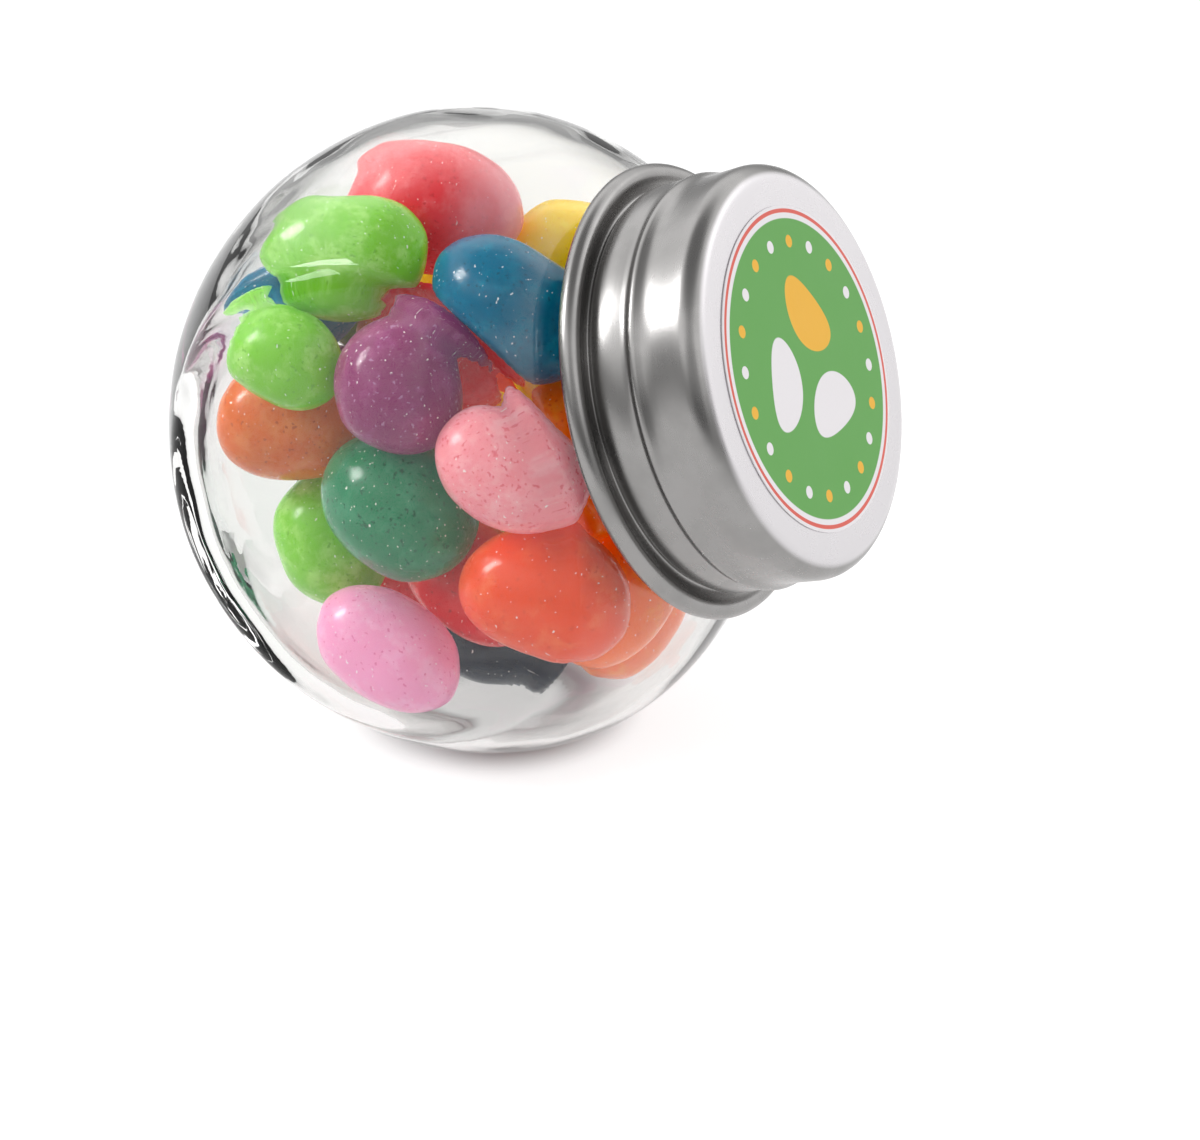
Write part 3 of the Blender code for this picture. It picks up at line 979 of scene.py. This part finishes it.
def add_room_light():
    """A white room: dim just above the floor, dark behind the viewer, and a bright wall facing the lid."""
    world = bpy.data.worlds.new("room")
    bpy.context.scene.world = world
    finish = Finish(world, "Background")
    way = finish.node("ShaderNodeTexCoord", {}, {}, "Generated")
    _, _, height = finish.axes(way)
    white = (0.42 + 1.15 * height.clear(0.22, 0.52)) * (1.0 - 0.8 * height.clear(0.74, 0.92))
    facing = finish.node("ShaderNodeVectorMath", {"operation": "DOT_PRODUCT"}, {0: way, 1: way_to(143.0, 2.0)}, "Value")
    behind = finish.node("ShaderNodeVectorMath", {"operation": "DOT_PRODUCT"}, {0: way, 1: way_to(27.0, 22.0)}, "Value")
    white = white * (1.0 - 0.6 * behind.clear(0.78, 0.95)) + 0.9 * facing.clear(0.75, 0.95)
    finish.dress({"Color": (1.0, 1.0, 1.0), "Strength": white})


def add_floor(settings):
    shape = bmesh.new()
    bmesh.ops.create_circle(shape, cap_ends=True, segments=96, radius=settings.floor_radius)
    mesh = bpy.data.meshes.new("floor")
    shape.to_mesh(mesh)
    shape.free()
    mesh.materials.append(make_floor_paint())
    floor = bpy.data.objects.new("floor", mesh)
    bpy.context.scene.collection.objects.link(floor)


# ---------------------------------------------------------------- operators


class JAR_OT_glass(bpy.types.Operator):
    """Adds the glass jar"""

    bl_idname = "jar.glass"
    bl_label = "Glass jar"

    def execute(self, context):
        settings = context.scene.jar_glass
        finish_piece(build_glass(settings), "jar_glass", make_glass(settings), "clear_glass", "glass_jar")
        return {"FINISHED"}


class JAR_OT_lid(bpy.types.Operator):
    """Adds the screw lid"""

    bl_idname = "jar.lid"
    bl_label = "Screw lid"

    def execute(self, context):
        settings = context.scene.jar_lid
        lid = finish_piece(build_lid(settings), "tin_lid", make_tinplate(settings), "tinplate", "screw_lid")
        sheet = lid.modifiers.new("Sheet", "SOLIDIFY")
        sheet.thickness = settings.sheet
        sheet.offset = -1.0
        return {"FINISHED"}


class JAR_OT_label(bpy.types.Operator):
    """Adds the label on the lid"""

    bl_idname = "jar.label"
    bl_label = "Label"

    def execute(self, context):
        settings = context.scene.jar_label
        shape = build_label(settings, context.scene.jar_lid.top)
        finish_piece(shape, "paper_label", make_paper(settings), "label_paper", "lid_label")
        return {"FINISHED"}


class JAR_OT_beans(bpy.types.Operator):
    """Adds the jelly beans, one piece for each colour"""

    bl_idname = "jar.beans"
    bl_label = "Jelly beans"

    def execute(self, context):
        settings = context.scene.jar_beans
        beans = draw_beans(settings, hollow_skin(context.scene.jar_glass))
        for kind in SUGAR:
            alike = [bean for bean in beans if bean[0] == kind]
            if not alike:
                continue
            shape = bmesh.new()
            for _, place, axis, length, width, index in alike:
                add_bean(shape, settings, place, axis, length, width, index)
            bmesh.ops.recalc_face_normals(shape, faces=shape.faces)
            finish_piece(shape, kind + "_beans", make_sugar(kind), "jelly_bean_sugar", "jelly_beans")
        return {"FINISHED"}


class JAR_OT_stage(bpy.types.Operator):
    """Adds the floor, the light and the camera"""

    bl_idname = "jar.stage"
    bl_label = "Stage"

    def execute(self, context):
        settings = context.scene.jar_stage
        add_camera(settings)
        add_floor(settings)
        add_room_light()
        add_softbox("key", -62.0, 36.0, 0.6, 0.12, 0.20, 16.0)
        context.scene.view_settings.view_transform = "Standard"
        return {"FINISHED"}


class JAR_PT_sidebar(bpy.types.Panel):
    """Lists the pieces of the jar"""

    bl_idname = "JAR_PT_sidebar"
    bl_label = "Jelly bean jar"
    bl_space_type = "VIEW_3D"
    bl_region_type = "UI"
    bl_category = "Sweets"

    def draw(self, context):
        for operator, group in PIECES:
            box = self.layout.box()
            box.operator(operator.bl_idname)
            settings = getattr(context.scene, group)
            for name in settings.bl_rna.properties.keys():
                if name not in ("rna_type", "name"):
                    box.prop(settings, name)


GROUPS = [
    ("jar_glass", GlassSizes),
    ("jar_lid", LidSizes),
    ("jar_label", LabelSizes),
    ("jar_beans", BeanSizes),
    ("jar_stage", StageSizes),
]
PIECES = [
    (JAR_OT_stage, "jar_stage"),
    (JAR_OT_glass, "jar_glass"),
    (JAR_OT_lid, "jar_lid"),
    (JAR_OT_label, "jar_label"),
    (JAR_OT_beans, "jar_beans"),
]


def register():
    for name, group in GROUPS:
        bpy.utils.register_class(group)
        setattr(bpy.types.Scene, name, PointerProperty(type=group))
    for operator, _ in PIECES:
        bpy.utils.register_class(operator)
    bpy.utils.register_class(JAR_PT_sidebar)


def unregister():
    bpy.utils.unregister_class(JAR_PT_sidebar)
    for operator, _ in reversed(PIECES):
        bpy.utils.unregister_class(operator)
    for name, group in reversed(GROUPS):
        delattr(bpy.types.Scene, name)
        bpy.utils.unregister_class(group)


def main():
    register()
    bpy.ops.jar.stage()
    bpy.ops.jar.glass()
    bpy.ops.jar.lid()
    bpy.ops.jar.label()
    bpy.ops.jar.beans()


if __name__ == "__main__":
    main()
